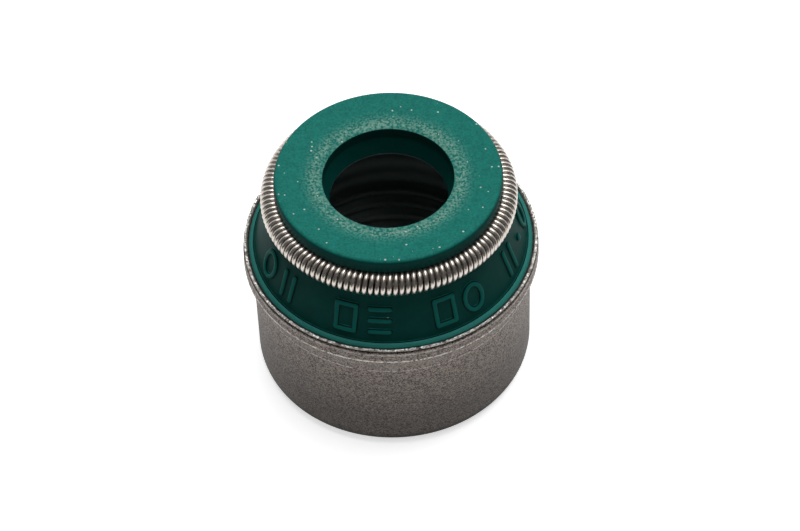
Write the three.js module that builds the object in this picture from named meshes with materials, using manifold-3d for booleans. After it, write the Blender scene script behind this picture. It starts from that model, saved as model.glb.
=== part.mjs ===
// Valve stem seal: a drawn steel case, a rubber body moulded inside it, and a garter spring round its head.
// Millimetres. +Z is the seal's axis, the origin is the centre of the foot that it stands on, and -Y is the front.
import * as THREE from 'three';
import { mergeVertices } from 'three/addons/utils/BufferGeometryUtils.js';
import Module from 'manifold-3d';

// Steel case
const CASE_RADIUS = 6.6; // outside of the straight sleeve
const CASE_WALL = 0.7; // thickness of the sheet
const CASE_HEIGHT = 7.6; // foot to the trimmed edge of the rim
const FLARE_BEND = 1.6; // radius of the outward bend below the rim
const RIM_FLARE = 0.4; // how far the trimmed rim stands outside the sleeve
const RIM_EDGE_BREAK = 0.05; // chamfer left by tumbling on the trimmed edge
const FOOT_CORNER = 0.8; // outside radius between sleeve and foot
const FOOT_INSIDE_CORNER = 0.15; // inside radius between sleeve and foot
const FOOT_LIP = 0.45; // how far the pierced foot reaches in past the inside of the sleeve
const FOOT_EDGE_BREAK = 0.06; // chamfer round the pierced hole

// Rubber body
const BOND_GAP = 0.02; // clearance drawn between rubber and steel, and between spring and groove
const LINER_WALL = 0.63; // rubber between the sleeve and the guide recess
const LINER_INSET = 0.1; // how far the liner's mouth covers the pierced hole in the foot
const LINER_LEAD = 0.45; // height of the lead-in at the liner's mouth
const RIB_HEIGHT = 0.37; // how far a grip rib stands in from the recess wall
const RIB_CREST = 0.26; // flat on a rib's crest
const RIB_FLANK = 0.2; // height of each sloping side of a rib
const RIB_PITCH = 0.93;
const RIB_COUNT = 4;
const TOP_RIB_HEIGHT = 5.25; // foot to the middle of the top rib
const RIM_BARE = 0.26; // width of steel left bare round the rim
const BEAD_WIDTH = 0.19; // sloping bead of rubber just inside the rim
const BEAD_RISE = 0.03; // how far the bead stands above the trimmed edge
const BEAD_ROUND = 0.08;
const BEAD_GROOVE = 0.05; // depth and half width of the groove between bead and cone
const NECK_HEIGHT = 2.95; // trimmed edge to the middle of the spring
const HEAD_RADIUS = 5.32;
const HEAD_HEIGHT = 1.35; // middle of the spring to the top of the head
const HEAD_ROUND = 0.2; // radius round the top of the head
const DISH_DEPTH = 0.2; // fall of the top face towards the mouth
const MOUTH_LAND = 0.58; // height of the straight wall inside the mouth
const MOUTH_ROUND = 0.05;
const MOUTH_UNDERCUT = 0.03; // how much wider the mouth is at the foot of that wall
const LIP_RADIUS = 2.76; // sealing edge, before a stem stretches it
const LIP_DEPTH = 0.29; // how far the sealing edge stands in from the mouth
const LIP_BELOW_SPRING = 0.17;
const LIP_LAND = 0.12; // height of the narrow land below the sealing edge
const LIP_LAND_TAPER = 0.02;
const UNDERSIDE_ANGLE = 43; // slope of the rubber below the lip, in degrees under the horizontal
const GROOVE_LIP_ANGLE = 70; // where the groove's lower lip ends, in degrees below the spring's middle
const GROOVE_LIP_WIDE = 0.05; // chamfer between that lip and the cone
const GROOVE_LIP_TALL = 0.1;

// Raised marks on the cone, each with its middle at an angle from the front, in degrees
const MARK_TALL = 1.55;
const MARK_STROKE = 0.2;
const MARK_PROUD = 0.1; // how far a mark stands off the cone
const MARK_SINK = 0.3; // how deep its root goes, past the curve of the cone
const MARK_LOW = 0.07; // how far its middle lies below the middle of the cone
const RING_WIDE = 1.15;
const FRAME_WIDE = 1.1;
const BAR_SPACING = 0.6;
const PIP_RADIUS = 0.14;
const MARKS = [
  { angle: -67, draw: ring },
  { angle: -52, draw: uprightBars },
  { angle: -21, draw: frameMark },
  { angle: -6, draw: levelBars },
  { angle: 23, draw: frameMark },
  { angle: 37.5, draw: ring },
  { angle: 64, draw: uprightBars },
  { angle: 77.5, draw: pip },
  { angle: 91, draw: ring },
];

// Garter spring
const WIRE = 0.22; // wire diameter
const COIL_RADIUS = 0.63; // outside radius of the coil
const COIL_PROUD = 0.05; // how far the coil's middle lies outside the wall of the head
const COIL_GAP = 0.015; // clearance between turns on the inside of the ring
const NIB_COIL = 0.19; // radius of the wire's middle in the small end
const NIB_TURNS = 4; // turns of the small end that are screwed into the other end
const NIB_ANGLE = 180; // where the two ends meet, in degrees from the front

// Facets
const FACETS = 56; // round the axis
const BEND_STEPS = 6;
const CORNER_STEPS = 3;
const GROOVE_STEPS = 9;
const RING_STEPS = 14; // round a ring mark
const TURN_STEPS = 8; // round one turn of the spring
const WIRE_SIDES = 4;

// Places that follow from the sizes
const wasm = await Module();
wasm.setup();
const caseBore = CASE_RADIUS - CASE_WALL;
const footBore = caseBore - FOOT_LIP;
const rimRadius = CASE_RADIUS + RIM_FLARE;
const bendRadius = CASE_RADIUS + FLARE_BEND; // distance of the bend's centre from the axis
const insideBend = FLARE_BEND + CASE_WALL;
const bendHeight = CASE_HEIGHT - bendRise(insideBend, rimRadius);
const recessRadius = caseBore - BOND_GAP - LINER_WALL;
const ringRadius = HEAD_RADIUS + COIL_PROUD;
const springHeight = CASE_HEIGHT + NECK_HEIGHT;
const topHeight = springHeight + HEAD_HEIGHT;
const grooveRadius = COIL_RADIUS + BOND_GAP;
const coneBase = section(
  rimRadius - RIM_BARE - BEAD_WIDTH - 2 * BEAD_GROOVE,
  CASE_HEIGHT + BEAD_RISE,
);
const grooveLip = polar(ringRadius, springHeight, grooveRadius, -GROOVE_LIP_ANGLE);
const coneTop = section(grooveLip.x + GROOVE_LIP_WIDE, grooveLip.y - GROOVE_LIP_TALL);

// A point of a half section: distance from the axis, then height.
function section(radius, height) {
  return new THREE.Vector2(radius, height);
}

// A point on a circle in the section; the angle is in degrees, anticlockwise from straight out.
function polar(radius, height, circle, angle) {
  const turn = THREE.MathUtils.degToRad(angle);
  return section(radius + circle * Math.cos(turn), height + circle * Math.sin(turn));
}

// Points of an arc in the section, both ends included.
function arc(radius, height, circle, from, to, steps) {
  const points = [];
  for (let step = 0; step <= steps; step += 1) {
    points.push(polar(radius, height, circle, from + ((to - from) * step) / steps));
  }
  return points;
}

// Height above the bend's centre at which a circle round it reaches a distance from the axis.
function bendRise(circle, radius) {
  return Math.sqrt(circle ** 2 - (bendRadius - radius) ** 2);
}

// The angle of that place on the circle, in degrees.
function bendAngle(circle, radius) {
  return THREE.MathUtils.radToDeg(Math.atan2(bendRise(circle, radius), radius - bendRadius));
}

// Turns a closed half section round the Z axis.
function turned(profile) {
  const geometry = new THREE.LatheGeometry([...profile, profile[0].clone()], FACETS);
  geometry.rotateX(Math.PI / 2);
  return geometry;
}

function named(name, geometry, look) {
  const mesh = new THREE.Mesh(geometry, new THREE.MeshStandardMaterial(look));
  mesh.name = name;
  return mesh;
}

// The case is a cup drawn from sheet, flared at its mouth, pinch-trimmed there and pierced at the foot.
function caseProfile() {
  return [
    section(footBore + FOOT_EDGE_BREAK, 0),
    ...arc(CASE_RADIUS - FOOT_CORNER, FOOT_CORNER, FOOT_CORNER, -90, 0, CORNER_STEPS),
    ...arc(bendRadius, bendHeight, FLARE_BEND, 180, bendAngle(FLARE_BEND, rimRadius), BEND_STEPS),
    section(rimRadius, CASE_HEIGHT - RIM_EDGE_BREAK),
    ...arc(
      bendRadius,
      bendHeight,
      insideBend,
      bendAngle(insideBend, rimRadius - RIM_EDGE_BREAK),
      180,
      BEND_STEPS,
    ),
    ...arc(
      caseBore - FOOT_INSIDE_CORNER,
      CASE_WALL + FOOT_INSIDE_CORNER,
      FOOT_INSIDE_CORNER,
      0,
      -90,
      CORNER_STEPS,
    ),
    section(footBore, CASE_WALL),
    section(footBore, FOOT_EDGE_BREAK),
  ];
}

// One grip rib, from its upper root down to its lower root.
function ribProfile(height) {
  const crest = RIB_CREST / 2;
  return [
    section(recessRadius, height + crest + RIB_FLANK),
    section(recessRadius - RIB_HEIGHT, height + crest),
    section(recessRadius - RIB_HEIGHT, height - crest),
    section(recessRadius, height - crest - RIB_FLANK),
  ];
}

function outsideOfRubber() {
  const bond = insideBend + BOND_GAP;
  const bondRadius = caseBore - BOND_GAP;
  const seat = CASE_WALL + BOND_GAP;
  const beadOuter = rimRadius - RIM_BARE;
  const beadTop = CASE_HEIGHT + BEAD_RISE;
  return [
    section(bondRadius - FOOT_INSIDE_CORNER, seat),
    section(bondRadius, seat + FOOT_INSIDE_CORNER),
    ...arc(bendRadius, bendHeight, bond, 180, bendAngle(bond, beadOuter), BEND_STEPS),
    section(beadOuter, beadTop - 2 * BEAD_ROUND),
    section(beadOuter - BEAD_ROUND, beadTop - BEAD_ROUND),
    section(beadOuter - BEAD_WIDTH, beadTop),
    section(beadOuter - BEAD_WIDTH - BEAD_GROOVE, beadTop - BEAD_GROOVE),
    coneBase,
    coneTop,
  ];
}

function headOfRubber() {
  const mouth = LIP_RADIUS + LIP_DEPTH;
  const mouthTop = topHeight - DISH_DEPTH;
  const upperLip = THREE.MathUtils.radToDeg(Math.acos(-COIL_PROUD / grooveRadius));
  const groove = arc(ringRadius, springHeight, grooveRadius, 360 - GROOVE_LIP_ANGLE, upperLip, GROOVE_STEPS);
  return [
    ...groove,
    ...arc(HEAD_RADIUS - HEAD_ROUND, topHeight - HEAD_ROUND, HEAD_ROUND, 0, 90, CORNER_STEPS),
    section(mouth + MOUTH_ROUND, mouthTop),
    section(mouth, mouthTop - MOUTH_ROUND),
    section(mouth + MOUTH_UNDERCUT, mouthTop - MOUTH_LAND),
  ];
}

function insideOfRubber() {
  const lipHeight = springHeight - LIP_BELOW_SPRING;
  const landFoot = section(LIP_RADIUS + LIP_LAND_TAPER, lipHeight - LIP_LAND);
  const fall = (recessRadius - landFoot.x) * Math.tan(THREE.MathUtils.degToRad(UNDERSIDE_ANGLE));
  const ribs = [];
  for (let rib = 0; rib < RIB_COUNT; rib += 1) {
    ribs.push(...ribProfile(TOP_RIB_HEIGHT - rib * RIB_PITCH));
  }
  const seat = CASE_WALL + BOND_GAP;
  return [
    section(LIP_RADIUS, lipHeight),
    landFoot,
    section(recessRadius, landFoot.y - fall),
    ...ribs,
    section(recessRadius, seat + LINER_LEAD),
    section(footBore - LINER_INSET, seat),
  ];
}

// Marks are drawn flat, upright and centred; extruded marks stand on the cone.
function rectangle(width, height, x = 0, y = 0) {
  return new THREE.Shape([
    section(x - width / 2, y - height / 2),
    section(x + width / 2, y - height / 2),
    section(x + width / 2, y + height / 2),
    section(x - width / 2, y + height / 2),
  ]);
}

function ellipse(width, height) {
  return new THREE.EllipseCurve(0, 0, width / 2, height / 2).getPoints(RING_STEPS).slice(0, RING_STEPS);
}

function ring() {
  const shape = new THREE.Shape(ellipse(RING_WIDE, MARK_TALL));
  shape.holes.push(new THREE.Path(ellipse(RING_WIDE - 2 * MARK_STROKE, MARK_TALL - 2 * MARK_STROKE)));
  return [shape];
}

function frameMark() {
  const shape = rectangle(FRAME_WIDE, MARK_TALL);
  const hole = rectangle(FRAME_WIDE - 2 * MARK_STROKE, MARK_TALL - 2 * MARK_STROKE);
  shape.holes.push(new THREE.Path(hole.getPoints()));
  return [shape];
}

function uprightBars() {
  return [-1, 1].map((side) => rectangle(MARK_STROKE, MARK_TALL, (side * BAR_SPACING) / 2));
}

function levelBars() {
  return [-1, 0, 1].map((row) => rectangle(FRAME_WIDE, MARK_STROKE, 0, row * BAR_SPACING));
}

function pip() {
  return [new THREE.Shape(ellipse(2 * PIP_RADIUS, 2 * PIP_RADIUS))];
}

// Stands one flat shape on the cone at an angle from the front.
function markOnCone(shape, angle) {
  const geometry = new THREE.ExtrudeGeometry(shape, { depth: MARK_SINK + MARK_PROUD, bevelEnabled: false });
  geometry.translate(0, 0, -MARK_SINK);
  const turn = THREE.MathUtils.degToRad(angle);
  const out = new THREE.Vector3(Math.sin(turn), -Math.cos(turn), 0);
  const across = new THREE.Vector3(Math.cos(turn), Math.sin(turn), 0);
  const rise = coneTop.clone().sub(coneBase).normalize();
  const upSlope = out.clone().multiplyScalar(rise.x).setZ(rise.y);
  const middle = coneBase.clone().add(coneTop).multiplyScalar(0.5).addScaledVector(rise, -MARK_LOW);
  const place = new THREE.Matrix4().makeBasis(across, upSlope, across.clone().cross(upSlope));
  place.setPosition(out.clone().multiplyScalar(middle.x).setZ(middle.y));
  return geometry.applyMatrix4(place);
}

function toManifold(geometry) {
  geometry.deleteAttribute('normal');
  geometry.deleteAttribute('uv');
  const merged = mergeVertices(geometry, 1e-5);
  return new wasm.Manifold(
    new wasm.Mesh({
      numProp: 3,
      vertProperties: new Float32Array(merged.attributes.position.array),
      triVerts: new Uint32Array(merged.index.array),
    }),
  );
}

function fromManifold(solid) {
  const { vertProperties, triVerts } = solid.getMesh();
  const geometry = new THREE.BufferGeometry();
  geometry.setAttribute('position', new THREE.BufferAttribute(vertProperties, 3));
  geometry.setIndex(new THREE.BufferAttribute(triVerts, 1));
  geometry.computeVertexNormals();
  return geometry;
}

// The body is one turned section with the marks joined to its cone.
function rubberGeometry() {
  let body = toManifold(turned([...outsideOfRubber(), ...headOfRubber(), ...insideOfRubber()]));
  for (const mark of MARKS) {
    for (const shape of mark.draw()) {
      body = body.add(toManifold(markOnCone(shape, mark.angle)));
    }
  }
  return fromManifold(body);
}

// The middle of the spring's wire: a helix laid round a ring, whose last turns shrink and enter its first ones.
class GarterWire extends THREE.Curve {
  constructor() {
    super();
    this.coil = COIL_RADIUS - WIRE / 2;
    this.turnsRound = Math.floor((2 * Math.PI * (ringRadius - this.coil)) / (WIRE + COIL_GAP));
    this.turns = this.turnsRound + NIB_TURNS;
  }

  // Unit vectors at a count of turns: out from the axis, and out from the middle of the coil.
  directions(turn) {
    const around = (2 * Math.PI * turn) / this.turnsRound + THREE.MathUtils.degToRad(NIB_ANGLE);
    const out = new THREE.Vector3(Math.sin(around), -Math.cos(around), 0);
    const coilAngle = 2 * Math.PI * turn;
    const fromCoil = out.clone().multiplyScalar(Math.cos(coilAngle)).setZ(Math.sin(coilAngle));
    return { out, fromCoil };
  }

  getPoint(t, target = new THREE.Vector3()) {
    const turn = t * this.turns;
    const { out, fromCoil } = this.directions(turn);
    const shrink = THREE.MathUtils.smoothstep(turn, this.turnsRound - 1.5, this.turnsRound - 0.5);
    const coil = THREE.MathUtils.lerp(this.coil, NIB_COIL, shrink);
    target.copy(out).multiplyScalar(ringRadius).setZ(springHeight);
    return target.addScaledVector(fromCoil, coil);
  }

  // Steps are even in turns, so that each turn has its facets where its neighbours have them.
  getUtoTmapping(u) {
    return u;
  }

  computeFrenetFrames(steps) {
    const frames = { tangents: [], normals: [], binormals: [] };
    for (let step = 0; step <= steps; step += 1) {
      const t = step / steps;
      const tangent = this.getTangent(t);
      const { fromCoil } = this.directions(t * this.turns);
      const normal = fromCoil.addScaledVector(tangent, -fromCoil.dot(tangent)).normalize();
      frames.tangents.push(tangent);
      frames.normals.push(normal);
      frames.binormals.push(tangent.clone().cross(normal));
    }
    return frames;
  }
}

function springGeometry() {
  const wire = new GarterWire();
  const sides = [];
  for (let side = 0; side < WIRE_SIDES; side += 1) {
    sides.push(polar(0, 0, WIRE / 2, (360 * side) / WIRE_SIDES));
  }
  const path = { extrudePath: wire, steps: wire.turns * TURN_STEPS };
  return new THREE.ExtrudeGeometry(new THREE.Shape(sides), path);
}

const seal = new THREE.Group();
seal.add(
  named('metal_case', turned(caseProfile()), { color: 0x6a625f, roughness: 0.75, metalness: 0.55 }),
  named('rubber_body', rubberGeometry(), { color: 0x1c6a62, roughness: 0.55, metalness: 0 }),
  named('garter_spring', springGeometry(), { color: 0xb9b4ae, roughness: 0.3, metalness: 1 }),
);

export default seal;
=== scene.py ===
# %% [markdown]
# # A valve stem seal
#
# This small seal is pushed over the top of a valve guide in an engine, where it wipes the oil off the
# valve's stem. It is three pieces: a steel case drawn from sheet, a green rubber body moulded inside it,
# and a garter spring that squeezes the sealing lip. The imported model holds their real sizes. Blender
# takes those solids as its frame and stands a finer mesh, with its real finish, in the place of each.

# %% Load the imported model
import math
import bpy
from mathutils import Matrix, Vector, noise


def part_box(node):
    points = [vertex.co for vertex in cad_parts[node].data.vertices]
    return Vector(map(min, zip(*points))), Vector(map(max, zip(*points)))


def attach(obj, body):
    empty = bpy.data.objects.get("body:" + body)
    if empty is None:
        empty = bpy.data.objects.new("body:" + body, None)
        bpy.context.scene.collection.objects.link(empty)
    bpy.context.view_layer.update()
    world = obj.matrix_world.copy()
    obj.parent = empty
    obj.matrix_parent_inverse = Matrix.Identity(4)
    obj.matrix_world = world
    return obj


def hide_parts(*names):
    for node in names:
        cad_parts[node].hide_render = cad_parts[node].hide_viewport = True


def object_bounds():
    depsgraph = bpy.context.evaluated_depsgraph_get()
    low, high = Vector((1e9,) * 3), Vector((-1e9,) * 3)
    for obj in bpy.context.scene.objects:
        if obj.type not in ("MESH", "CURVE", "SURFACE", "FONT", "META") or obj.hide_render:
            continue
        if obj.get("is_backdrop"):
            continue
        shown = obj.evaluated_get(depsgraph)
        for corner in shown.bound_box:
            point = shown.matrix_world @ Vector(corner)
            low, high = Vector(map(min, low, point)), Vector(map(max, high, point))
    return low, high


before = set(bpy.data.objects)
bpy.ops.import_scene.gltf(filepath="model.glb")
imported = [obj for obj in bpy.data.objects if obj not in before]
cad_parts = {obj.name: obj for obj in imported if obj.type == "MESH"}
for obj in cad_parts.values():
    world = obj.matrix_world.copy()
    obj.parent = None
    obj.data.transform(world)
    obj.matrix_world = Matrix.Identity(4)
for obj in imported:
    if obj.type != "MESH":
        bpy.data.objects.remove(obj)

solids_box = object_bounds()
solids_low, solids_high = ([round(v, 5) for v in corner] for corner in solids_box)
print("the solids reach from", solids_low, "to", solids_high)

# %% [markdown]
# ## Sizes
#
# A part this small is easiest to think about in millimetres, so sizes stay in millimetres and turn to
# metres only where a vertex is made. What the frame can tell is read from it. The rest are the sizes of
# the same features in the solids, such as the sheet's thickness, and the small roundings that only a fine
# mesh can hold.

# %% Read the main sizes from the frame
MM = 0.001

case_low, case_high = (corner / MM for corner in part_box("metal_case"))
body_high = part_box("rubber_body")[1] / MM
spring_low, spring_high = (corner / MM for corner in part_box("garter_spring"))

RIM_RADIUS = -case_low.y
CASE_HEIGHT = case_high.z
TOP_HEIGHT = body_high.z
COIL_RADIUS = (spring_high.z - spring_low.z) / 2
SPRING_HEIGHT = (spring_high.z + spring_low.z) / 2
RING_RADIUS = -spring_low.y - COIL_RADIUS
print(f"rim {RIM_RADIUS:.2f}, case {CASE_HEIGHT:.2f} high, whole {TOP_HEIGHT:.2f} high")
print(f"spring ring {RING_RADIUS:.2f}, coil {COIL_RADIUS:.3f}, at {SPRING_HEIGHT:.2f}")

# %% [markdown]
# ## Turned shapes
#
# The case and the rubber are both round about one axis, like work from a lathe. Blender's Screw modifier
# could turn an outline, but here the turning is written out, because some rows of the mesh must also be
# pushed in and out by the angle, for raised marks and a torn edge. An outline is a closed loop of
# distances from the axis and heights. Real edges are never sharp, so each corner of the outline can be
# softened.

# %% Draw arcs and softened corners in the section
def arc(centre, radius, start, end, steps):
    """Outline points on a circle, with angles in degrees anticlockwise from straight out."""
    points = []
    for step in range(steps + 1):
        angle = math.radians(start + (end - start) * step / steps)
        points.append((centre[0] + radius * math.cos(angle), centre[1] + radius * math.sin(angle), 0))
    return points


def soften(corners, steps=4):
    """A closed outline from (distance, height, reach) corners: a corner with a reach becomes a curve."""
    outline = []
    for index, corner in enumerate(corners):
        here = Vector(corner[:2])
        reach = corner[2]
        if reach == 0:
            outline.append(here)
            continue
        before = here + (Vector(corners[index - 1][:2]) - here).normalized() * reach
        after = here + (Vector(corners[(index + 1) % len(corners)][:2]) - here).normalized() * reach
        for step in range(steps + 1):
            t = step / steps
            outline.append(before * (1 - t) ** 2 + here * 2 * t * (1 - t) + after * t ** 2)
    return outline


print("a softened square corner has", len(soften([(0, 0, 0.2), (1, 0, 0.2), (1, 1, 0.2)])) // 3, "points")

# %% Turn an outline into a mesh
def new_object(name, vertices, faces):
    """A smooth-shaded mesh object at the origin, from places in millimetres."""
    mesh = bpy.data.meshes.new(name)
    mesh.from_pydata([(x * MM, y * MM, z * MM) for x, y, z in vertices], [], faces)
    mesh.shade_smooth()
    made = bpy.data.objects.new(name, mesh)
    bpy.context.scene.collection.objects.link(made)
    triangles = sum(len(face) - 2 for face in faces)
    print(name, "has", len(vertices), "vertices and", triangles, "triangles")
    return made


def turned(name, outline, angles, push):
    """Turns an outline round the axis; push(row, angle) gives each point's shift in distance and height."""
    vertices = []
    faces = []
    rows = len(outline)
    for angle in angles:
        across, ahead = math.sin(math.radians(angle)), -math.cos(math.radians(angle))
        for row, point in enumerate(outline):
            shift = push(row, angle)
            distance = point.x + shift[0]
            vertices.append((distance * across, distance * ahead, point.y + shift[1]))
    for column in range(len(angles)):
        beside = (column + 1) % len(angles)
        for row in range(rows):
            above = (row + 1) % rows
            here, there = column * rows, beside * rows
            faces.append((here + row, there + row, there + above, here + above))
    return new_object(name, vertices, faces)


# %% [markdown]
# ## The steel case
#
# The case starts as a flat disc of sheet steel. A press draws it into a cup, leaves a bend at the mouth,
# trims the cup by squeezing it through a ring, and pierces its bottom. That leaves a wall of even
# thickness, a large radius at the foot, and a short bright band round the rim: burnished where the ring
# rubbed it, torn where the sheet gave way. On top of the band stands a thin bright burr, with a small
# step under it. The torn edge and the burr are real geometry, made by pushing the rows near them by a
# noise.

# %% Lay out the case's section
SLEEVE_RADIUS = RIM_RADIUS - 0.4
SHEET = 0.7
FLARE_BEND = 1.6
FOOT_CORNER = 0.8
FOOT_BORE = SLEEVE_RADIUS - SHEET - 0.45
BURNISH_HEIGHT = CASE_HEIGHT - 0.78
TORN_TAPER = 0.02

bend_centre = SLEEVE_RADIUS + FLARE_BEND


def bend_rise(radius, distance):
    """Height above the bend's centre where a circle round it comes to a distance from the axis."""
    return math.sqrt(radius ** 2 - (bend_centre - distance) ** 2)


def bend_angle(radius, distance):
    """The angle of that place on the circle, in degrees."""
    return math.degrees(math.atan2(bend_rise(radius, distance), distance - bend_centre))


bend_height = CASE_HEIGHT - bend_rise(FLARE_BEND + SHEET, RIM_RADIUS)
print(f"the outward bend starts {bend_height:.2f} mm above the foot")

# %% Turn the case
def case_section():
    """The case's closed outline, anticlockwise from the underside of the foot."""
    inside = FLARE_BEND + SHEET
    return soften([
        (FOOT_BORE, 0, 0.06),
        *arc((SLEEVE_RADIUS - FOOT_CORNER, FOOT_CORNER), FOOT_CORNER, -90, 0, 16),
        *arc((bend_centre, bend_height), FLARE_BEND, 180, bend_angle(FLARE_BEND, RIM_RADIUS), 14),
        # The trimmed band, then the step, and the burr with its round top.
        (RIM_RADIUS, BURNISH_HEIGHT - 0.02, 0),
        (RIM_RADIUS - 0.012, BURNISH_HEIGHT + 0.02, 0),
        (RIM_RADIUS - TORN_TAPER / 2, (BURNISH_HEIGHT + CASE_HEIGHT) / 2, 0),
        (RIM_RADIUS - TORN_TAPER, CASE_HEIGHT - 0.22, 0.02),
        (RIM_RADIUS - 0.1, CASE_HEIGHT - 0.16, 0.02),
        (RIM_RADIUS - 0.05, CASE_HEIGHT - 0.1, 0.02),
        (RIM_RADIUS - 0.05, CASE_HEIGHT - 0.04, 0.02),
        (RIM_RADIUS - 0.1, CASE_HEIGHT, 0.02),
        (RIM_RADIUS - 0.16, CASE_HEIGHT - 0.02, 0.02),
        *arc((bend_centre, bend_height), inside, bend_angle(inside, RIM_RADIUS - 0.22), 180, 14),
        (SLEEVE_RADIUS - SHEET, SHEET, 0.15),
        (FOOT_BORE, SHEET, 0.06),
    ])


case_outline = case_section()
TEAR_DEPTH = 0.035
EDGE_WAVE = 0.11
COARSE_TEARS = 2.0
COARSE_RISE = 3
FINE_TEARS = 6.0
FINE_RISE = 12
BURR_SHARE = 0.15


def tear(row, angle):
    """Pulls the trimmed band in by two sizes of noise, and the burr on its top down as well."""
    point = case_outline[row]
    near = (point.y - BURNISH_HEIGHT) / (CASE_HEIGHT - BURNISH_HEIGHT)
    if near <= 0 or point.x < SLEEVE_RADIUS:
        return 0, 0
    place = Vector((math.sin(math.radians(angle)), math.cos(math.radians(angle)), 0)) * RIM_RADIUS
    coarse = noise.noise(place * COARSE_TEARS + Vector((0, 0, point.y * COARSE_RISE)))
    fine = noise.noise(place * FINE_TEARS + Vector((0, 0, point.y * FINE_RISE)))
    pulled = min(1, near) * (0.5 + 0.5 * coarse) * (0.6 + 0.6 * fine)
    burr = max(0, near - 1 + BURR_SHARE) / BURR_SHARE
    return -TEAR_DEPTH * (abs(pulled) + burr * abs(fine)), -EDGE_WAVE * burr * abs(coarse + fine)


CASE_COLUMNS = 900
case_angles = [360 * column / CASE_COLUMNS for column in range(CASE_COLUMNS)]
steel_case = turned("steel_case", case_outline, case_angles, tear)

# %% [markdown]
# ## The rubber body
#
# The rubber is moulded in one shot round the inside of the case: ribs that grip the guide, a cone that
# rises out of the rim, and a head with a groove for the spring outside and the sealing lip inside. Its
# section is one outline again. The raised marks on the cone could be small blocks set on it, but on the
# real part they are one with it. So the cone's rows are fine, and each vertex is pushed out by how near it
# lies to the middle of a mark's stroke. That gives the soft shoulders that an engraved mould leaves.

# %% Lay out the sections of the cone and the head
BOND_GAP = 0.02
BORE = SLEEVE_RADIUS - SHEET - BOND_GAP
RECESS_RADIUS = BORE - 0.63
RIB_RADIUS = RECESS_RADIUS - 0.37
TOP_RIB_HEIGHT = 5.25
RIB_PITCH = 0.93
RIB_FLAT = 0.13
RIB_FLANK = 0.33
RIB_HEIGHTS = [TOP_RIB_HEIGHT - RIB_PITCH * rib for rib in range(4)]
BEAD_OUTER = RIM_RADIUS - 0.3
BEAD_INNER = BEAD_OUTER - 0.15
BEAD_TOP = CASE_HEIGHT + 0.03
HEAD_RADIUS = RING_RADIUS - 0.05
LIP_RADIUS = 2.76
MOUTH_RADIUS = LIP_RADIUS + 0.29
LIP_HEIGHT = SPRING_HEIGHT - 0.17
MOUTH_TOP = TOP_HEIGHT - 0.2
CHAMBER_TOP = 8.6
CHAMBER_SLOPE = 43

groove_arc = arc((RING_RADIUS, SPRING_HEIGHT), COIL_RADIUS + BOND_GAP, 290, 94.4, 26)
cone_foot = Vector((BEAD_INNER - 0.13, BEAD_TOP + 0.04))
cone_head = Vector((groove_arc[0][0] + 0.05, groove_arc[0][1] - 0.1))
cone_slope = (cone_head - cone_foot).normalized()
cone_out = Vector((cone_slope.y, -cone_slope.x))
print(f"the cone is {(cone_head - cone_foot).length:.2f} mm long up its slope")

# %% Lay out the whole outline of the rubber
CONE_ROWS = 48
FACE_ROWS = 12


def outside_rows():
    """From the liner's foot up to the cone, where it meets the case and then forms the bead."""
    bond = FLARE_BEND + SHEET + BOND_GAP
    seat = SHEET + BOND_GAP
    return [
        (BORE, seat, 0.2),
        *arc((bend_centre, bend_height), bond, 180, bend_angle(bond, BEAD_OUTER), 8),
        (BEAD_OUTER, BEAD_TOP - 0.14, 0.05),
        (BEAD_INNER + 0.03, BEAD_TOP, 0.05),
        (BEAD_INNER - 0.02, BEAD_TOP - 0.04, 0.02),
        (BEAD_INNER - 0.06, BEAD_TOP - 0.01, 0.02),
        (BEAD_INNER - 0.1, BEAD_TOP - 0.01, 0.02),
    ]


def cone_rows():
    """Evenly spaced rows up the cone, which the marks are pushed out of."""
    step = (cone_head - cone_foot) / CONE_ROWS
    return [(*(cone_foot + step * row), 0) for row in range(CONE_ROWS + 1)]


def head_rows():
    """The spring's groove, the head and the mouth, down to the sealing edge."""
    crown = HEAD_RADIUS - 0.2
    fall = (TOP_HEIGHT - MOUTH_TOP) / FACE_ROWS
    width = (crown - MOUTH_RADIUS - 0.08) / FACE_ROWS
    face = [(crown - width * row, TOP_HEIGHT - fall * row, 0) for row in range(1, FACE_ROWS)]
    return [
        *groove_arc,
        *arc((crown, TOP_HEIGHT - 0.2), 0.2, 0, 90, 8),
        *face,
        (MOUTH_RADIUS, MOUTH_TOP, 0.06),
        (MOUTH_RADIUS + 0.03, MOUTH_TOP - 0.58, 0.06),
        (LIP_RADIUS, LIP_HEIGHT, 0.02),
    ]


def inside_rows():
    """The underside of the lip, the recess for the guide with its ribs, and the mouth of the liner."""
    land = (LIP_RADIUS + 0.02, LIP_HEIGHT - 0.12)
    fall = (RECESS_RADIUS - land[0]) * math.tan(math.radians(CHAMBER_SLOPE))
    ribs = []
    for height in RIB_HEIGHTS:
        ribs += [
            (RECESS_RADIUS, height + RIB_FLANK, 0.07),
            (RIB_RADIUS, height + RIB_FLAT, 0.07),
            (RIB_RADIUS, height - RIB_FLAT, 0.07),
            (RECESS_RADIUS, height - RIB_FLANK, 0.07),
        ]
    return [
        (*land, 0.03),
        (RECESS_RADIUS, land[1] - fall, 0.25),
        *ribs,
        (RECESS_RADIUS, SHEET + BOND_GAP + 0.45, 0.1),
        (FOOT_BORE - 0.1, SHEET + BOND_GAP, 0.05),
    ]


rubber_outline = soften([*outside_rows(), *cone_rows(), *head_rows(), *inside_rows()])
cone_first = rubber_outline.index(cone_foot)
print("the rubber's outline has", len(rubber_outline), "points, and the cone starts at", cone_first)

# %% [markdown]
# ## Raised marks
#
# Such seals carry moulding marks on the cone. Here they are plain shapes: rings, frames, bars and a pip.
# Each is described by its stroke's middle line, because the distance to a line is a short sum. A smooth
# step on that distance then gives the raised stroke.

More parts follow.
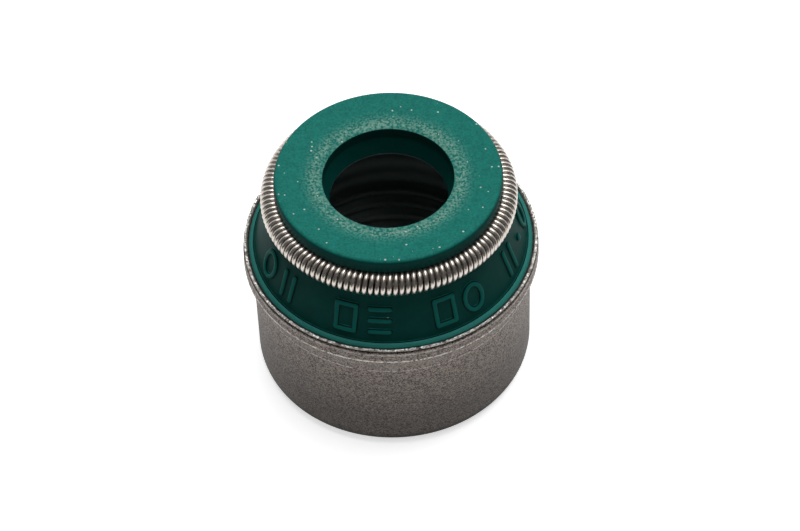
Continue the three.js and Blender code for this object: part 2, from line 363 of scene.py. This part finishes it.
# %% Measure the distance to each mark's stroke
TALL = 1.55
LOW = 0.07
STROKE = 0.22
PROUD = 0.13
SHOULDER = 0.07
HALF_WIDTH = 0.45
RING_HALF_WIDTH = 0.475
BAR_ASIDE = 0.3
BAR_SPACING = 0.6
PIP_RADIUS = 0.05


def from_ring(across, along):
    """Distance to an upright oval, near enough: how far out of the oval, over how fast that grows."""
    wide, tall = RING_HALF_WIDTH, (TALL - STROKE) / 2
    size = math.hypot(across / wide, along / tall)
    growth = math.hypot(across / wide ** 2, along / tall ** 2) / max(size, 0.01)
    return abs(size - 1) / max(growth, 0.01)


def from_frame(across, along):
    """Distance to the sides of an upright rectangle."""
    beside, beyond = abs(across) - HALF_WIDTH, abs(along) - (TALL - STROKE) / 2
    return abs(math.hypot(max(beside, 0), max(beyond, 0)) + min(max(beside, beyond), 0))


def from_upright_bars(across, along):
    """Distance to the nearer of two upright strokes."""
    return math.hypot(abs(across) - BAR_ASIDE, max(abs(along) - (TALL - STROKE) / 2, 0))


def from_level_bars(across, along):
    """Distance to the nearest of three level strokes."""
    rise = min(abs(along), abs(abs(along) - BAR_SPACING))
    return math.hypot(rise, max(abs(across) - HALF_WIDTH, 0))


def from_pip(across, along):
    """Distance to a dot a little wider than a stroke."""
    return max(math.hypot(across, along) - PIP_RADIUS, 0)


MARKS = [
    (-67, from_ring),
    (-52, from_upright_bars),
    (-21, from_frame),
    (-6, from_level_bars),
    (23, from_frame),
    (37.5, from_ring),
    (64, from_upright_bars),
    (77.5, from_pip),
    (91, from_ring),
]
MARK_REACH = 6.5
mark_room = math.radians(2 * MARK_REACH) * cone_foot.x
print(f"each mark may take {mark_room:.2f} mm at the cone's foot")

# %% Turn the rubber with its marks
FINE_STEP = 0.48
COARSE_STEP = 2.0


def nearest_mark(angle):
    """The mark that an angle falls on, as (degrees from its middle, its distance function), or None."""
    for middle, distance in MARKS:
        offset = (angle - middle + 180) % 360 - 180
        if abs(offset) < MARK_REACH:
            return offset, distance
    return None


def rubber_angles():
    """Angles of the columns: close together where there is a mark, and wide apart elsewhere."""
    angles = []
    angle = -180.0
    while angle < 180 - FINE_STEP:
        angles.append(angle)
        angle += FINE_STEP if nearest_mark(angle) or nearest_mark(angle + COARSE_STEP) else COARSE_STEP
    return angles


def raise_mark(row, angle):
    """Pushes the cone's rows out where a stroke runs, along the cone's own outward direction."""
    found = nearest_mark(angle)
    on_cone = row - cone_first
    if not found or on_cone < 0 or on_cone > CONE_ROWS:
        return 0, 0
    point = rubber_outline[row]
    across = math.radians(found[0]) * point.x
    along = (on_cone / CONE_ROWS - 0.5) * (cone_head - cone_foot).length + LOW
    near = (STROKE / 2 + SHOULDER / 2 - found[1](across, along)) / SHOULDER
    near = min(max(near, 0), 1)
    height = PROUD * near * near * (3 - 2 * near)
    return cone_out.x * height, cone_out.y * height


rubber_seal = turned("rubber_seal", rubber_outline, rubber_angles(), raise_mark)

# %% [markdown]
# ## The garter spring
#
# A garter spring is a long close-wound coil of hard wire, bent into a ring. One end is wound smaller,
# like the tip of a cone, and screws into the other end. A curve with a bevel would give the same tube,
# but a mesh laid along the helix keeps each turn's section exact and lets the small end follow the same
# formula.

# %% Follow the middle of the wire
WIRE = 0.22
COIL_GAP = 0.015
NIB_COIL = 0.19
NIB_TURNS = 4
NIB_ANGLE = 180
TURN_STEPS = 24
WIRE_SIDES = 12
SPACING_DRIFT = 0.05
DRIFT_PACE = 0.4
NIB_LEAD = 1.5

coil_middle = COIL_RADIUS - WIRE / 2
turns_round = math.floor(2 * math.pi * (RING_RADIUS - coil_middle) / (WIRE + COIL_GAP))
print("the ring holds", turns_round, "turns of", WIRE, "mm wire")


def wire_place(turn):
    """The wire's middle after a count of turns, and the direction there away from the coil's own middle."""
    drift = SPACING_DRIFT * noise.noise(Vector((turn * DRIFT_PACE, 0, 0)))
    around = math.radians(NIB_ANGLE) + 2 * math.pi * (turn + drift) / turns_round
    out = Vector((math.sin(around), -math.cos(around), 0))
    from_coil = out * math.cos(2 * math.pi * turn) + Vector((0, 0, math.sin(2 * math.pi * turn)))
    shrink = min(max(turn - turns_round + NIB_LEAD, 0), 1)
    coil = coil_middle + (NIB_COIL - coil_middle) * shrink * shrink * (3 - 2 * shrink)
    return out * RING_RADIUS + Vector((0, 0, SPRING_HEIGHT)) + from_coil * coil, from_coil


# %% Lay the wire's round section along it
def wire_mesh():
    """Vertices and faces of the whole wire, with a flat cut at each end."""
    vertices = []
    faces = []
    steps = (turns_round + NIB_TURNS) * TURN_STEPS
    for step in range(steps + 1):
        middle, from_coil = wire_place(step / TURN_STEPS)
        before = wire_place((step - 0.5) / TURN_STEPS)[0]
        after = wire_place((step + 0.5) / TURN_STEPS)[0]
        forward = (after - before).normalized()
        normal = (from_coil - forward * from_coil.dot(forward)).normalized()
        binormal = forward.cross(normal)
        for side in range(WIRE_SIDES):
            angle = 2 * math.pi * side / WIRE_SIDES
            vertices.append(middle + (normal * math.cos(angle) + binormal * math.sin(angle)) * WIRE / 2)
    for step in range(steps):
        here, ahead = step * WIRE_SIDES, (step + 1) * WIRE_SIDES
        for side in range(WIRE_SIDES):
            beside = (side + 1) % WIRE_SIDES
            faces.append((here + side, here + beside, ahead + beside, ahead + side))
    faces.append(tuple(reversed(range(WIRE_SIDES))))
    faces.append(tuple(range(steps * WIRE_SIDES, (steps + 1) * WIRE_SIDES)))
    return vertices, faces


wire_ring = new_object("wire_ring", *wire_mesh())

# %% [markdown]
# ## Colours and nodes
#
# Colours are written as the hex values that a picture editor shows, and turned to the linear values that
# Blender mixes light in. Every finish below is built from nodes by one helper, so that a line reads as
# what is added, how it is set, and what is plugged into it. The few kinds that come again and again have
# a helper of their own, which gives back the socket to plug in next. Patterns follow each object's own
# coordinates, which are in metres, so a noise with a grain of a given size in millimetres needs a scale
# of one over that size. A pixel of the picture covers about 0.05 mm, so no pattern has a main grain finer
# than that, though a noise adds smaller grains inside its own.

# %% Turn hex colours to linear and add nodes
def linear(hex_colour):
    """Linear red, green, blue and alpha of an sRGB hex colour."""
    channels = [int(hex_colour[place:place + 2], 16) / 255 for place in (1, 3, 5)]
    return (*[c / 12.92 if c <= 0.04045 else ((c + 0.055) / 1.055) ** 2.4 for c in channels], 1)


def per_grain(size_mm):
    """The texture scale that gives grains of a size."""
    return 1 / (size_mm * MM)


def add(tree, kind, settings, plugs):
    """Adds a node, sets its own choices, then links or sets its inputs by name or number."""
    made = tree.nodes.new(kind)
    for name, value in settings.items():
        setattr(made, name, value)
    for key, value in plugs.items():
        if isinstance(value, bpy.types.NodeSocket):
            tree.links.new(value, made.inputs[key])
        else:
            made.inputs[key].default_value = value
    return made


print("mid grey is", [round(v, 3) for v in linear("#808080")])

# %% Name the steps that every finish repeats
def combine(tree, operation, *values):
    """One step of arithmetic, such as a product, a comparison or the larger of two values."""
    return add(tree, "ShaderNodeMath", {"operation": operation}, dict(enumerate(values))).outputs[0]


def follow(tree, value, low, high, start=0.0, end=1.0, curve="LINEAR"):
    """Goes from start to end while a value goes from low to high."""
    return add(tree, "ShaderNodeMapRange", {"interpolation_type": curve}, {
        "Value": value, "From Min": low, "From Max": high, "To Min": start, "To Max": end,
    }).outputs[0]


def blend(tree, amount, first, second):
    """Goes from the first colour to the second while an amount goes from 0 to 1."""
    return add(tree, "ShaderNodeMix", {"data_type": "RGBA"}, {0: amount, 6: first, 7: second}).outputs[2]


def cloud(tree, spot, size_mm, detail):
    """A noise with grains of a size."""
    return add(tree, "ShaderNodeTexNoise", {}, {
        "Vector": spot, "Scale": per_grain(size_mm), "Detail": detail,
    }).outputs[0]


def bump(tree, height, strength, depth_mm, under=None):
    """A bump of a depth, on top of another one if there is one."""
    plugs = {"Height": height, "Strength": strength, "Distance": depth_mm * MM}
    if under is not None:
        plugs["Normal"] = under
    return add(tree, "ShaderNodeBump", {}, plugs).outputs[0]


def new_finish(name):
    """A material with an empty node tree, that tree, and the object's own coordinates in it."""
    material = bpy.data.materials.new(name)
    material.use_nodes = True
    tree = material.node_tree
    tree.nodes.clear()
    return material, tree, add(tree, "ShaderNodeTexCoord", {}, {})


def close_finish(material, tree, plugs):
    """Ends a finish with its shader, and says how large it grew."""
    shader = add(tree, "ShaderNodeBsdfPrincipled", {}, plugs)
    add(tree, "ShaderNodeOutputMaterial", {}, {"Surface": shader.outputs[0]})
    print(material.name, "has", len(tree.nodes), "nodes")
    return material


print("grains of 0.1 mm need a scale of", round(per_grain(0.1)))

# %% [markdown]
# ## Fluoroelastomer, moulded
#
# The body is fluorocarbon rubber, filled and dyed dark green, pressed in a steel mould. It is dense and
# nearly matt, with a weak sheen and an IOR of about 1.4. The flat top has been handled: it has scuffs
# round the mouth and white specks of dust, and what faces up is painted paler, partly a pale bloom and
# partly a painted sheen. The bead at the rim is rubbed and painted paler still, as a sheen. The tops of the
# marks are rubbed paler with a painted highlight, and their feet are painted dark as shade. Where the guide
# goes in, the rubber is painted grey as a sheen, with broad rings, and the land under the sealing edge has
# a painted highlight. An image painted for this body could say all of that, but rules on height, distance
# and facing fit any size of it.

# %% Build the rubber's finish
def moulded_rubber():
    """Dark green fluoroelastomer, with what bloom, wear and dust do to it, and with painted sheen,
    highlights and shade.
    """
    material, tree, place = new_finish("moulded_green_fluoroelastomer")
    spot = place.outputs["Object"]
    height = add(tree, "ShaderNodeSeparateXYZ", {}, {"Vector": spot}).outputs[2]
    facing = add(tree, "ShaderNodeSeparateXYZ", {}, {"Vector": place.outputs["Normal"]}).outputs[2]
    flat = add(tree, "ShaderNodeVectorMath", {"operation": "MULTIPLY"}, {0: spot, 1: (1, 1, 0)}).outputs[0]
    distance = add(tree, "ShaderNodeVectorMath", {"operation": "LENGTH"}, {0: flat}).outputs["Value"]
    upward = follow(tree, facing, 0.4, 0.95, curve="SMOOTHSTEP")

    # The dye is a little uneven, and what faces up is painted paler: partly bloom, partly a painted sheen.
    waves = cloud(tree, spot, 0.9, 4.0)
    patches = cloud(tree, spot, 0.35, 6.0)
    sand = cloud(tree, spot, 0.11, 4.0)
    dyed = blend(tree, waves, linear("#033733"), linear("#05453F"))
    thick = follow(tree, patches, 0.3, 0.7, 0.75, 1.0)
    speckled = follow(tree, sand, 0.35, 0.6, 0.66, 1.0)
    bloom_and_sheen = combine(tree, "MULTIPLY", combine(tree, "MULTIPLY", thick, speckled), upward)
    with_bloom_and_sheen = blend(tree, bloom_and_sheen, dyed, linear("#217D72"))

    # Scuffs lie round the mouth, in rings about 1 mm apart. The texture takes the sine of 20 times the
    # scaled distance, so its scale is divided by 20.
    near_mouth = follow(tree, distance, 4.3 * MM, 3.2 * MM, curve="SMOOTHSTEP")
    turning = add(tree, "ShaderNodeTexWave", {"wave_type": "RINGS", "rings_direction": "Z"}, {
        "Vector": spot, "Scale": per_grain(0.16) / 20,
        "Distortion": 1.5, "Detail": 2.0, "Detail Scale": 1.0,
    })
    rings = follow(tree, turning.outputs["Fac"], 0.0, 1.0, 0.45, 1.0)
    worn = follow(tree, sand, 0.42, 0.66)
    scuffs = combine(tree, "MULTIPLY", combine(tree, "MULTIPLY", rings, near_mouth), worn)
    scuffs_up = combine(tree, "MULTIPLY", scuffs, upward)
    scuffed = blend(tree, scuffs_up, with_bloom_and_sheen, linear("#86A898"))

    # A speck of dust sits in the middle of some cells of a Voronoi pattern.
    cells = add(tree, "ShaderNodeTexVoronoi", {"feature": "F1"}, {
        "Vector": spot, "Scale": per_grain(0.3), "Randomness": 1.0,
    })
    chance = add(tree, "ShaderNodeSeparateColor", {}, {"Color": cells.outputs["Color"]})
    size = follow(tree, chance.outputs[1], 0.0, 1.0, 0.04, 0.17)
    inside = combine(tree, "LESS_THAN", cells.outputs["Distance"], size)
    chosen = combine(tree, "LESS_THAN", chance.outputs[0], 0.42)
    dust = combine(tree, "MULTIPLY", combine(tree, "MULTIPLY", inside, chosen), upward)
    dusty = blend(tree, dust, scuffed, linear("#B9C9BE"))

    # The recess is painted grey as a sheen, with broad rings, and the narrow land under the sealing edge
    # has a painted highlight.
    low = combine(tree, "LESS_THAN", height, CHAMBER_TOP * MM)
    within = combine(tree, "LESS_THAN", distance, (RECESS_RADIUS + 0.1) * MM)
    lathe = add(tree, "ShaderNodeTexWave", {"wave_type": "BANDS", "bands_direction": "Z"}, {
        "Vector": spot, "Scale": per_grain(0.17) / 20, "Distortion": 0.6, "Detail": 2.0,
    })
    recess_sheen = blend(tree, lathe.outputs["Fac"], linear("#56605F"), linear("#7C8886"))
    hollow = blend(tree, combine(tree, "MULTIPLY", low, within), dusty, recess_sheen)
    land_highlight = combine(tree, "COMPARE", height, (LIP_HEIGHT - 0.07) * MM, 0.05 * MM)
    with_land_highlight = blend(tree, combine(tree, "MULTIPLY", land_highlight, within), hollow, linear("#7E9A95"))

    # How far a point stands off the plain cone tells a mark's top, rubbed paler with a painted highlight,
    # from its foot, which is painted dark as shade.
    slope = (cone_head.x - cone_foot.x) / (cone_head.y - cone_foot.y)
    plain_cone = combine(tree, "MULTIPLY_ADD", height, slope, (cone_foot.x - slope * cone_foot.y) * MM)
    raised = combine(tree, "SUBTRACT", distance, plain_cone)
    top = follow(tree, raised, 0.06 * MM, 0.11 * MM, curve="SMOOTHSTEP")
    lifted = follow(tree, raised, 0.005 * MM, 0.03 * MM, curve="SMOOTHSTEP")
    under_head = combine(tree, "LESS_THAN", height, (cone_head.y - 0.05) * MM)
    stroke = blend(tree, top, linear("#011D1B"), linear("#0C5C55"))
    marked = blend(tree, combine(tree, "MULTIPLY", lifted, under_head), with_land_highlight, stroke)
    # The bead at the rim is painted paler, partly as rubbed rubber and partly as a painted sheen.
    bead_rubbed_and_sheen = combine(tree, "GREATER_THAN", distance, (BEAD_INNER - 0.04) * MM)

    grain = cloud(tree, spot, 0.06, 3.0)
    skin = bump(tree, grain, 0.25, 0.01)
    ripple = bump(tree, waves, 0.35, 0.06, skin)
    return close_finish(material, tree, {
        "Base Color": blend(tree, bead_rubbed_and_sheen, marked, linear("#34827A")),
        "Roughness": follow(tree, grain, 0.0, 1.0, 0.42, 0.58),
        "IOR": 1.4,
        "Specular IOR Level": 0.06,
        "Normal": bump(tree, scuffs_up, 0.5, 0.01, ripple),
    })


rubber_seal.data.materials.append(moulded_rubber())

# %% [markdown]
# ## Phosphated sheet steel
#
# Before the rubber is bonded, the case is blasted and dipped in zinc phosphate. Tiny crystals grow on it
# and leave a warm grey, dry, granular coat that scatters light like fine sandpaper. A noise alone would
# give soft clouds, so a Voronoi pattern also gives each crystal a shade of its own. Real crystals are
# finer than a pixel here and are drawn coarser. The coat is painted darker toward the foot as shade, and
# painted shadow darkens the foot's corner and the step under the burr. Where it was rubbed, on the lines
# that the press left and along the trimmed edge, bare steel shines through in broken streaks.

# %% Build the case's finish
CRYSTAL = 0.052
RUBBED_LINES = [
    # height, half width and strength
    (bend_height, 0.06, 0.4),
    (BURNISH_HEIGHT, 0.07, 0.6),
    (CASE_HEIGHT - 0.33, 0.08, 0.3),
    (CASE_HEIGHT, 0.15, 1.0),
]


def phosphated_steel():
    """Granular grey phosphate coat, with bare steel along the press lines and the trimmed edge."""
    material, tree, place = new_finish("phosphated_sheet_steel")
    spot = place.outputs["Object"]
    height = add(tree, "ShaderNodeSeparateXYZ", {}, {"Vector": spot}).outputs[2]

    crystal = add(tree, "ShaderNodeTexVoronoi", {"feature": "F1"}, {
        "Vector": spot, "Scale": per_grain(CRYSTAL),
    })
    shade = add(tree, "ShaderNodeSeparateColor", {}, {"Color": crystal.outputs["Color"]})
    mixed = combine(tree, "ADD", shade.outputs[0], cloud(tree, spot, 0.07, 3.0))
    coat = blend(tree, follow(tree, mixed, 0.45, 1.45), linear("#2A221F"), linear("#BAADA3"))

    # The coat is painted darker toward the foot as shade, and painted shadow darkens the foot's corner and
    # the step under the burr.
    painted_foot_shade = follow(tree, height, 1.2 * MM, 6.4 * MM, 0.31, 0.82, "SMOOTHSTEP")
    corner = follow(tree, height, 0.45 * MM, 0.95 * MM, 0.2, 1.0, "SMOOTHSTEP")
    from_step = combine(tree, "ABSOLUTE", combine(tree, "SUBTRACT", height, (CASE_HEIGHT - 0.17) * MM))
    painted_step_shadow = follow(tree, from_step, 0.02 * MM, 0.08 * MM, 0.35, 1.0, "SMOOTHSTEP")
    darker = combine(tree, "MULTIPLY", combine(tree, "MULTIPLY", painted_foot_shade, corner), painted_step_shadow)
    shaded = add(tree, "ShaderNodeVectorMath", {"operation": "SCALE"}, {0: coat, "Scale": darker})

    rubbed = 0.0
    for line_height, half_width, strength in RUBBED_LINES:
        away = combine(tree, "ABSOLUTE", combine(tree, "SUBTRACT", height, line_height * MM))
        line = follow(tree, away, half_width * MM, 0.0, 0.0, strength, "SMOOTHSTEP")
        rubbed = combine(tree, "MAXIMUM", rubbed, line)
    broken = follow(tree, cloud(tree, spot, 0.13, 4.0), 0.37, 0.54)
    bare = combine(tree, "MULTIPLY", rubbed, broken)
    return close_finish(material, tree, {
        "Base Color": blend(tree, bare, shaded.outputs[0], linear("#F6F3EE")),
        "Roughness": follow(tree, bare, 0.0, 1.0, 0.62, 0.28),
        # In the foot's corner the painted shade also takes away most of the metal's reflection.
        "Metallic": combine(tree, "MULTIPLY", follow(tree, bare, 0.0, 1.0, 0.35, 1.0), corner),
        "Specular IOR Level": combine(tree, "MULTIPLY", corner, 0.5),
        "Normal": bump(tree, mixed, 0.9, 0.025),
    })


steel_case.data.materials.append(phosphated_steel())

# %% [markdown]
# ## Drawn spring wire
#
# The wire is stainless, pulled through a die until it is hard and bright. It is all metal, with a low
# roughness and a faint warm tint. Most of its look isn't in the metal but in what each turn reflects: the
# light above it and the paper below it make two bright spots, with a dark middle between them.

# %% Build the spring's finish
def drawn_spring_wire():
    """Bright drawn stainless wire with a slightly uneven surface."""
    material, tree, place = new_finish("drawn_stainless_wire")
    spot = place.outputs["Object"]
    return close_finish(material, tree, {
        "Base Color": blend(tree, cloud(tree, spot, 0.5, 3.0), linear("#B5ADA5"), linear("#D6D0C8")),
        "Roughness": follow(tree, cloud(tree, spot, 0.05, 2.0), 0.0, 1.0, 0.23, 0.34),
        "Metallic": 1.0,
    })


wire_ring.data.materials.append(drawn_spring_wire())

# %% [markdown]
# ## Tie the pieces to the frame
#
# Nothing moves on this part, so every piece rides on the one root body. The solid that each mesh stands
# for is hidden, and the mesh says which one it is.

# %% Say what each piece rides on and replaces
for piece, node_name, slot_name in (
    (steel_case, "metal_case", "phosphated_steel"),
    (rubber_seal, "rubber_body", "green_rubber"),
    (wire_ring, "garter_spring", "spring_wire"),
):
    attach(piece, "root")
    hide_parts(node_name)
    print(piece.name, "stands for", node_name)

# %% [markdown]
# ## Paper, light and camera
#
# The seal stands on white paper under one large soft light, a little behind it, as small parts are
# usually photographed. Such a photo is exposed until the paper is pure white. A stronger lamp would wash
# out the green as well, so the paper adds some light of its own, for what sees or reflects it alone. It
# fades out under and close round the seal, so the paper there is painted darker as shade, and the shadow
# stays.

# %% Lay the paper
SHADE_START = 3.2
SHADE_END = 6.8
PAPER_HALF = 600


def seen_directly(tree):
    """1 for rays that see, reflect or pass through, and 0 for the rays that light things."""
    path = add(tree, "ShaderNodeLightPath", {}, {})
    seen = combine(tree, "MAXIMUM", path.outputs["Is Camera Ray"], path.outputs["Is Glossy Ray"])
    return combine(tree, "MAXIMUM", seen, path.outputs["Is Transmission Ray"])


def flat_finish(name, colour, glow):
    """A matt finish that adds some of its own light, away from the seal, for what sees or reflects it."""
    material, tree, place = new_finish(name)
    away = add(tree, "ShaderNodeVectorMath", {"operation": "LENGTH"}, {0: place.outputs["Object"]})
    # The glow fades out close round the seal, which paints the paper there darker as shade.
    open_paper = follow(
        tree, away.outputs["Value"], SHADE_START * MM, SHADE_END * MM, 0.0, glow, "SMOOTHSTEP",
    )
    strength = combine(tree, "MULTIPLY", seen_directly(tree), open_paper)
    matt = add(tree, "ShaderNodeBsdfDiffuse", {}, {"Color": linear(colour)})
    light = add(tree, "ShaderNodeEmission", {}, {"Strength": strength})
    both = add(tree, "ShaderNodeAddShader", {}, {0: matt.outputs[0], 1: light.outputs[0]})
    add(tree, "ShaderNodeOutputMaterial", {}, {"Surface": both.outputs[0]})
    return material


paper_corners = [
    (-PAPER_HALF, -PAPER_HALF, 0),
    (PAPER_HALF, -PAPER_HALF, 0),
    (PAPER_HALF, PAPER_HALF, 0),
    (-PAPER_HALF, PAPER_HALF, 0),
]
paper = new_object("paper", paper_corners, [(0, 1, 2, 3)])
paper.data.materials.append(flat_finish("white_paper", "#F2F2F2", 0.68))
paper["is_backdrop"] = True

# %% [markdown]
# ## A dark card for the metal to reflect
#
# Bright metal only looks like metal if it has something dark to reflect. A photographer bends a dark card
# round the front, just out of the picture. This one is seen in reflections alone, so it can stand close,
# and it takes no light away.

# %% Stand the dark card round the front
SCREEN_RADIUS = 28
SCREEN_FOOT = 2
SCREEN_HEIGHT = 66
SCREEN_SIDES = 48
SCREEN_REACH = 100


def screen_mesh():
    """A tall curved card round the front of the seal."""
    vertices = []
    faces = []
    for side in range(SCREEN_SIDES + 1):
        angle = math.radians(SCREEN_REACH * (2 * side / SCREEN_SIDES - 1))
        x, y = SCREEN_RADIUS * math.sin(angle), -SCREEN_RADIUS * math.cos(angle)
        vertices += [(x, y, SCREEN_FOOT), (x, y, SCREEN_HEIGHT)]
        if side < SCREEN_SIDES:
            faces.append((2 * side, 2 * side + 2, 2 * side + 3, 2 * side + 1))
    return vertices, faces


dark_screen = new_object("dark_screen", *screen_mesh())
dark_screen.data.materials.append(flat_finish("dark_card", "#454545", 0.08))
dark_screen.visible_camera = False
dark_screen.visible_diffuse = False
dark_screen.visible_shadow = False
dark_screen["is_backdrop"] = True

# %% Hang the light
ROOM_FILL = 0.12


def soft_light(name, place, aim, size, power):
    """A square area light, with its place, aim and size in millimetres."""
    lamp = bpy.data.lights.new(name, "AREA")
    lamp.size = size * MM
    lamp.energy = power
    made = bpy.data.objects.new(name, lamp)
    bpy.context.scene.collection.objects.link(made)
    place, aim = Vector(place) * MM, Vector(aim) * MM
    facing = (place - aim).to_track_quat("Z", "Y").to_matrix().to_4x4()
    made.matrix_world = Matrix.Translation(place) @ facing
    print(name, "hangs", round((place - aim).length / MM), "mm away")
    return made


soft_light("overhead_softbox", (35, 60, 260), (0, 0, 6), 300, 0.82)

world = bpy.data.worlds.new("room")
bpy.context.scene.world = world
world.use_nodes = True
world.node_tree.nodes.clear()
room_light = follow(world.node_tree, seen_directly(world.node_tree), 0.0, 1.0, ROOM_FILL, 1.0)
room = add(world.node_tree, "ShaderNodeBackground", {}, {"Strength": room_light})
add(world.node_tree, "ShaderNodeOutputWorld", {}, {"Surface": room.outputs[0]})

# %% [markdown]
# ## The camera
#
# The view was found by fitting a pinhole camera to the photo's ellipses: the foot, the mouth and the top.
# It looks down by half a right angle and a bit, from 15 cm, through a long lens, and it leans by two
# degrees.

# %% Place the camera
VIEW_DISTANCE = 150
VIEW_ELEVATION = 49.775
VIEW_ROLL = -2.248
VIEW_TARGET = Vector((0.389, 0, 5.382))
FOCAL_PIXELS = 3141.1
IMAGE_WIDTH = 800

camera_data = bpy.data.cameras.new("camera")
camera_data.sensor_width = 36
camera_data.lens = FOCAL_PIXELS * camera_data.sensor_width / IMAGE_WIDTH
camera_data.clip_start = 0.005
camera = bpy.data.objects.new("camera", camera_data)
bpy.context.scene.collection.objects.link(camera)
bpy.context.scene.camera = camera

elevation = math.radians(VIEW_ELEVATION)
back = Vector((0, -math.cos(elevation), math.sin(elevation)))
level_right = Vector((1, 0, 0))
level_up = back.cross(level_right)
roll = math.radians(VIEW_ROLL)
right = level_right * math.cos(roll) + level_up * math.sin(roll)
up = level_up * math.cos(roll) - level_right * math.sin(roll)
turned_to = Matrix((right, up, back)).transposed().to_4x4()
camera.matrix_world = Matrix.Translation((VIEW_TARGET + back * VIEW_DISTANCE) * MM) @ turned_to
bpy.context.scene.view_settings.view_transform = "Standard"
print("the lens is", round(camera_data.lens, 1), "mm long")

# %% [markdown]
# ## The dressed part's box
#
# The box of the dressed part is printed here, as the box of the solids was at the start. The dressed
# part has to stay inside the box of the solids.

# %% Print the dressed part's box
dressed_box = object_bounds()
dressed_low, dressed_high = ([round(v, 5) for v in corner] for corner in dressed_box)
print("the dressed part reaches from", dressed_low, "to", dressed_high)
